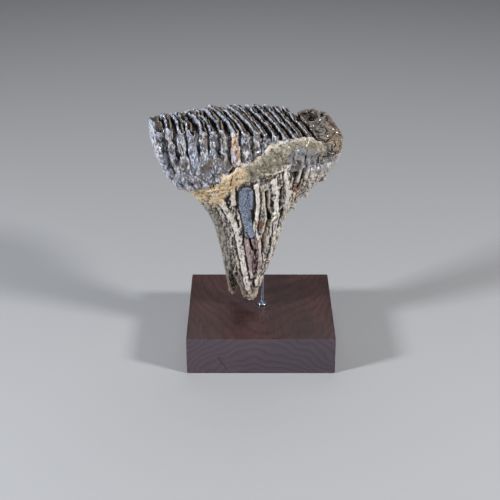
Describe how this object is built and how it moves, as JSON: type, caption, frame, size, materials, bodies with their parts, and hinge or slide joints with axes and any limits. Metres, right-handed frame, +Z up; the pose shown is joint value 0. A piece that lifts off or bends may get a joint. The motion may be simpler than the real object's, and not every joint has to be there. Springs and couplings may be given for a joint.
{
  "type": "fossil mammoth molar on stand",
  "caption": "Fossil mammoth molar with a ridged crown, heel, tapering neck and broken roots, held by a thin steel rod over a square walnut block.",
  "frame": {"origin": "middle of the walnut block's underside", "axes": "+Z up through the block and the tooth, +Y away from the block's front face, +X to the right seen from the front"},
  "size_m": [0.1983, 0.152, 0.2613],
  "materials": {
    "enamel": null,
    "dentine": null,
    "cement": null,
    "walnut": "oiled walnut with open grain",
    "steel": "bright drawn steel"
  },
  "bodies": {
    "root": {"crown": "enamel", "heel": "dentine", "neck": "cement", "root_main": "cement", "root_small": "cement", "stand_base": "walnut", "stand_rod": "steel", "stand_collar": "steel"}
  },
  "joints": []
}
